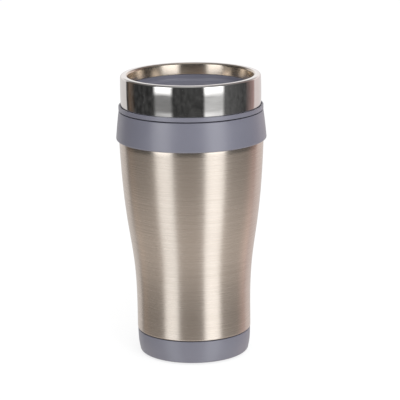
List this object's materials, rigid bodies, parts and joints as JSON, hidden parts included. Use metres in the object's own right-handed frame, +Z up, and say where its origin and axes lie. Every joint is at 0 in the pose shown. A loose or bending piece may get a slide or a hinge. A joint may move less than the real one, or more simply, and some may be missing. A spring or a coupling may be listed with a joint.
{
  "type": "insulated travel mug",
  "caption": "Double-walled steel travel mug with a waisted lower body, plastic collar and base, and a press-in lid with a sliding drink cover.",
  "frame": {"origin": "on the floor, on the mug's axis", "axes": "+Z up along the mug's axis, -Y towards the drinking side of the lid, +X to the drinker's right"},
  "size_m": [0.0896, 0.0896, 0.17],
  "materials": {
    "brushed_steel": "fine brushing that runs round the body",
    "cup_steel": "satin, as drawn",
    "polished_steel": "mirror polished",
    "grey_plastic": "satin moulded, cool mid grey",
    "silicone": "translucent grey silicone, satin",
    "foot_rubber": "matt"
  },
  "bodies": {
    "cup": {"outer_shell": "brushed_steel", "shell_bottom": "cup_steel", "inner_cup": "cup_steel", "collar": "grey_plastic", "collar_seal": "silicone", "base_cap": "grey_plastic", "foot_ring": "foot_rubber"},
    "lid_seal": {"lid_gasket": "silicone"},
    "lid": {"lid_plug": "grey_plastic", "lid_ring": "polished_steel", "lid_deck": "grey_plastic"},
    "slider": {"slider": "grey_plastic", "slider_seal": "silicone", "slider_clip": "grey_plastic"}
  },
  "joints": [
    {"name": "lid_lift", "type": "slide", "parent": "cup", "child": "lid_seal", "axis": [0, 0, 1], "range_m": [0, 0.06]},
    {"name": "lid_turn", "type": "hinge", "parent": "lid_seal", "child": "lid", "pos_m": [0, 0, 0.143], "axis": [0, 0, 1], "continuous": true},
    {"name": "slider_slide", "type": "slide", "parent": "lid", "child": "slider", "axis": [0, 1, 0], "range_m": [0, 0.013]}
  ]
}
